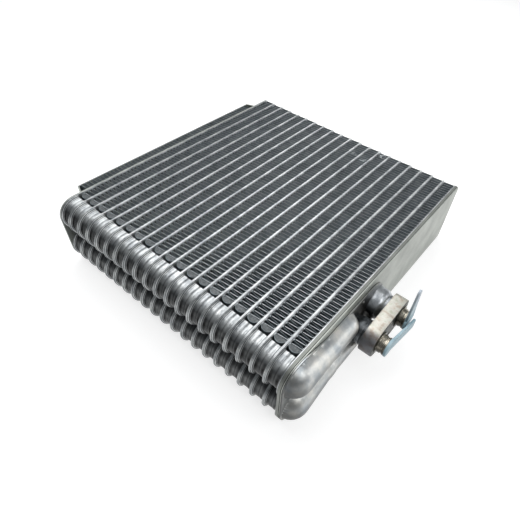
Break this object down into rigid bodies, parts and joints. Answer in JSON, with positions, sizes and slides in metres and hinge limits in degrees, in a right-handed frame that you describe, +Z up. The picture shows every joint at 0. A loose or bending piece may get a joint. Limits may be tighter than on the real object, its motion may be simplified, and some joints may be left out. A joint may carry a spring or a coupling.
{
  "type": "evaporator core",
  "caption": "Laminated plate-and-fin evaporator core of a vehicle air conditioner, lying flat, with a drawn-cup tank, a stamped channel plate and a capped pipe block.",
  "frame": {"origin": "middle of the resting face, at mid length of the tubes and mid stack", "axes": "X along the stack toward the pipe block, Y along the flat tubes away from the tank, Z up through the core's depth"},
  "size_m": [0.2678, 0.246, 0.066],
  "materials": {
    "tube_sheet": "brazed, satin, slightly uneven",
    "fin_sheet": "thin folded sheet, dull grey from its coating",
    "end_sheet": "flat rolled sheet, satin",
    "channel_sheet": "stamped and brazed, satin with brighter crowns",
    "block_metal": "machined, fine cutter lines",
    "stub_metal": "plated, worn satin",
    "cap_plastic": "soft translucent plastic"
  },
  "bodies": {
    "root": {"tube_01": "tube_sheet", "tube_02": "tube_sheet", "tube_03": "tube_sheet", "tube_04": "tube_sheet", "tube_05": "tube_sheet", "tube_06": "tube_sheet", "tube_07": "tube_sheet", "tube_08": "tube_sheet", "tube_09": "tube_sheet", "tube_10": "tube_sheet", "tube_11": "tube_sheet", "tube_12": "tube_sheet", "tube_13": "tube_sheet", "tube_14": "tube_sheet", "tube_15": "tube_sheet", "tube_16": "tube_sheet", "tube_17": "tube_sheet", "tube_18": "tube_sheet", "tube_19": "tube_sheet", "tube_20": "tube_sheet", "fin_01": "fin_sheet", "fin_02": "fin_sheet", "fin_03": "fin_sheet", "fin_04": "fin_sheet", "fin_05": "fin_sheet", "fin_06": "fin_sheet", "fin_07": "fin_sheet", "fin_08": "fin_sheet", "fin_09": "fin_sheet", "fin_10": "fin_sheet", "fin_11": "fin_sheet", "fin_12": "fin_sheet", "fin_13": "fin_sheet", "fin_14": "fin_sheet", "fin_15": "fin_sheet", "fin_16": "fin_sheet", "fin_17": "fin_sheet", "fin_18": "fin_sheet", "fin_19": "fin_sheet", "fin_20": "fin_sheet", "fin_21": "fin_sheet", "left_end_plate": "end_sheet", "left_side_sheet": "end_sheet", "right_cup_plate": "tube_sheet", "right_end_plate": "end_sheet", "channel_back": "end_sheet", "channel_plate": "channel_sheet", "near_neck": "channel_sheet", "far_neck": "channel_sheet", "flange_block": "block_metal", "near_stub": "stub_metal", "far_stub": "stub_metal", "near_cap": "cap_plastic", "far_cap": "cap_plastic"}
  },
  "joints": []
}
